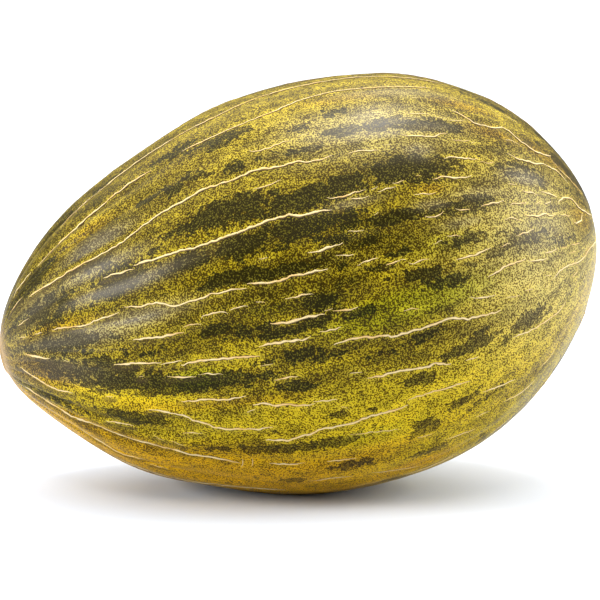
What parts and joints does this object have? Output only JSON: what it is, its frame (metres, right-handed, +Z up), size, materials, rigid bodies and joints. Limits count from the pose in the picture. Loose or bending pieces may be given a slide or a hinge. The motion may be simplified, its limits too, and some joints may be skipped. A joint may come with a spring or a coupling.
{
  "type": "piel de sapo melon",
  "caption": "Long oval green melon with a pointed stem end, a blunt blossom end, low ribs and a raised cork net, resting tilted on a small flat spot.",
  "frame": {"origin": "on the ground, under the middle of the fruit's bounding box", "axes": "+Z up; +X along the fruit, level, towards the blunt blossom end, which is raised by 13 degrees; -Y is the side that the picture shows"},
  "size_m": [0.246, 0.1698, 0.1723],
  "materials": {
    "rind": "waxy satin skin, dark olive green speckled with golden yellow, with cream cork cracks"
  },
  "bodies": {
    "root": {"melon": "rind"}
  },
  "joints": []
}
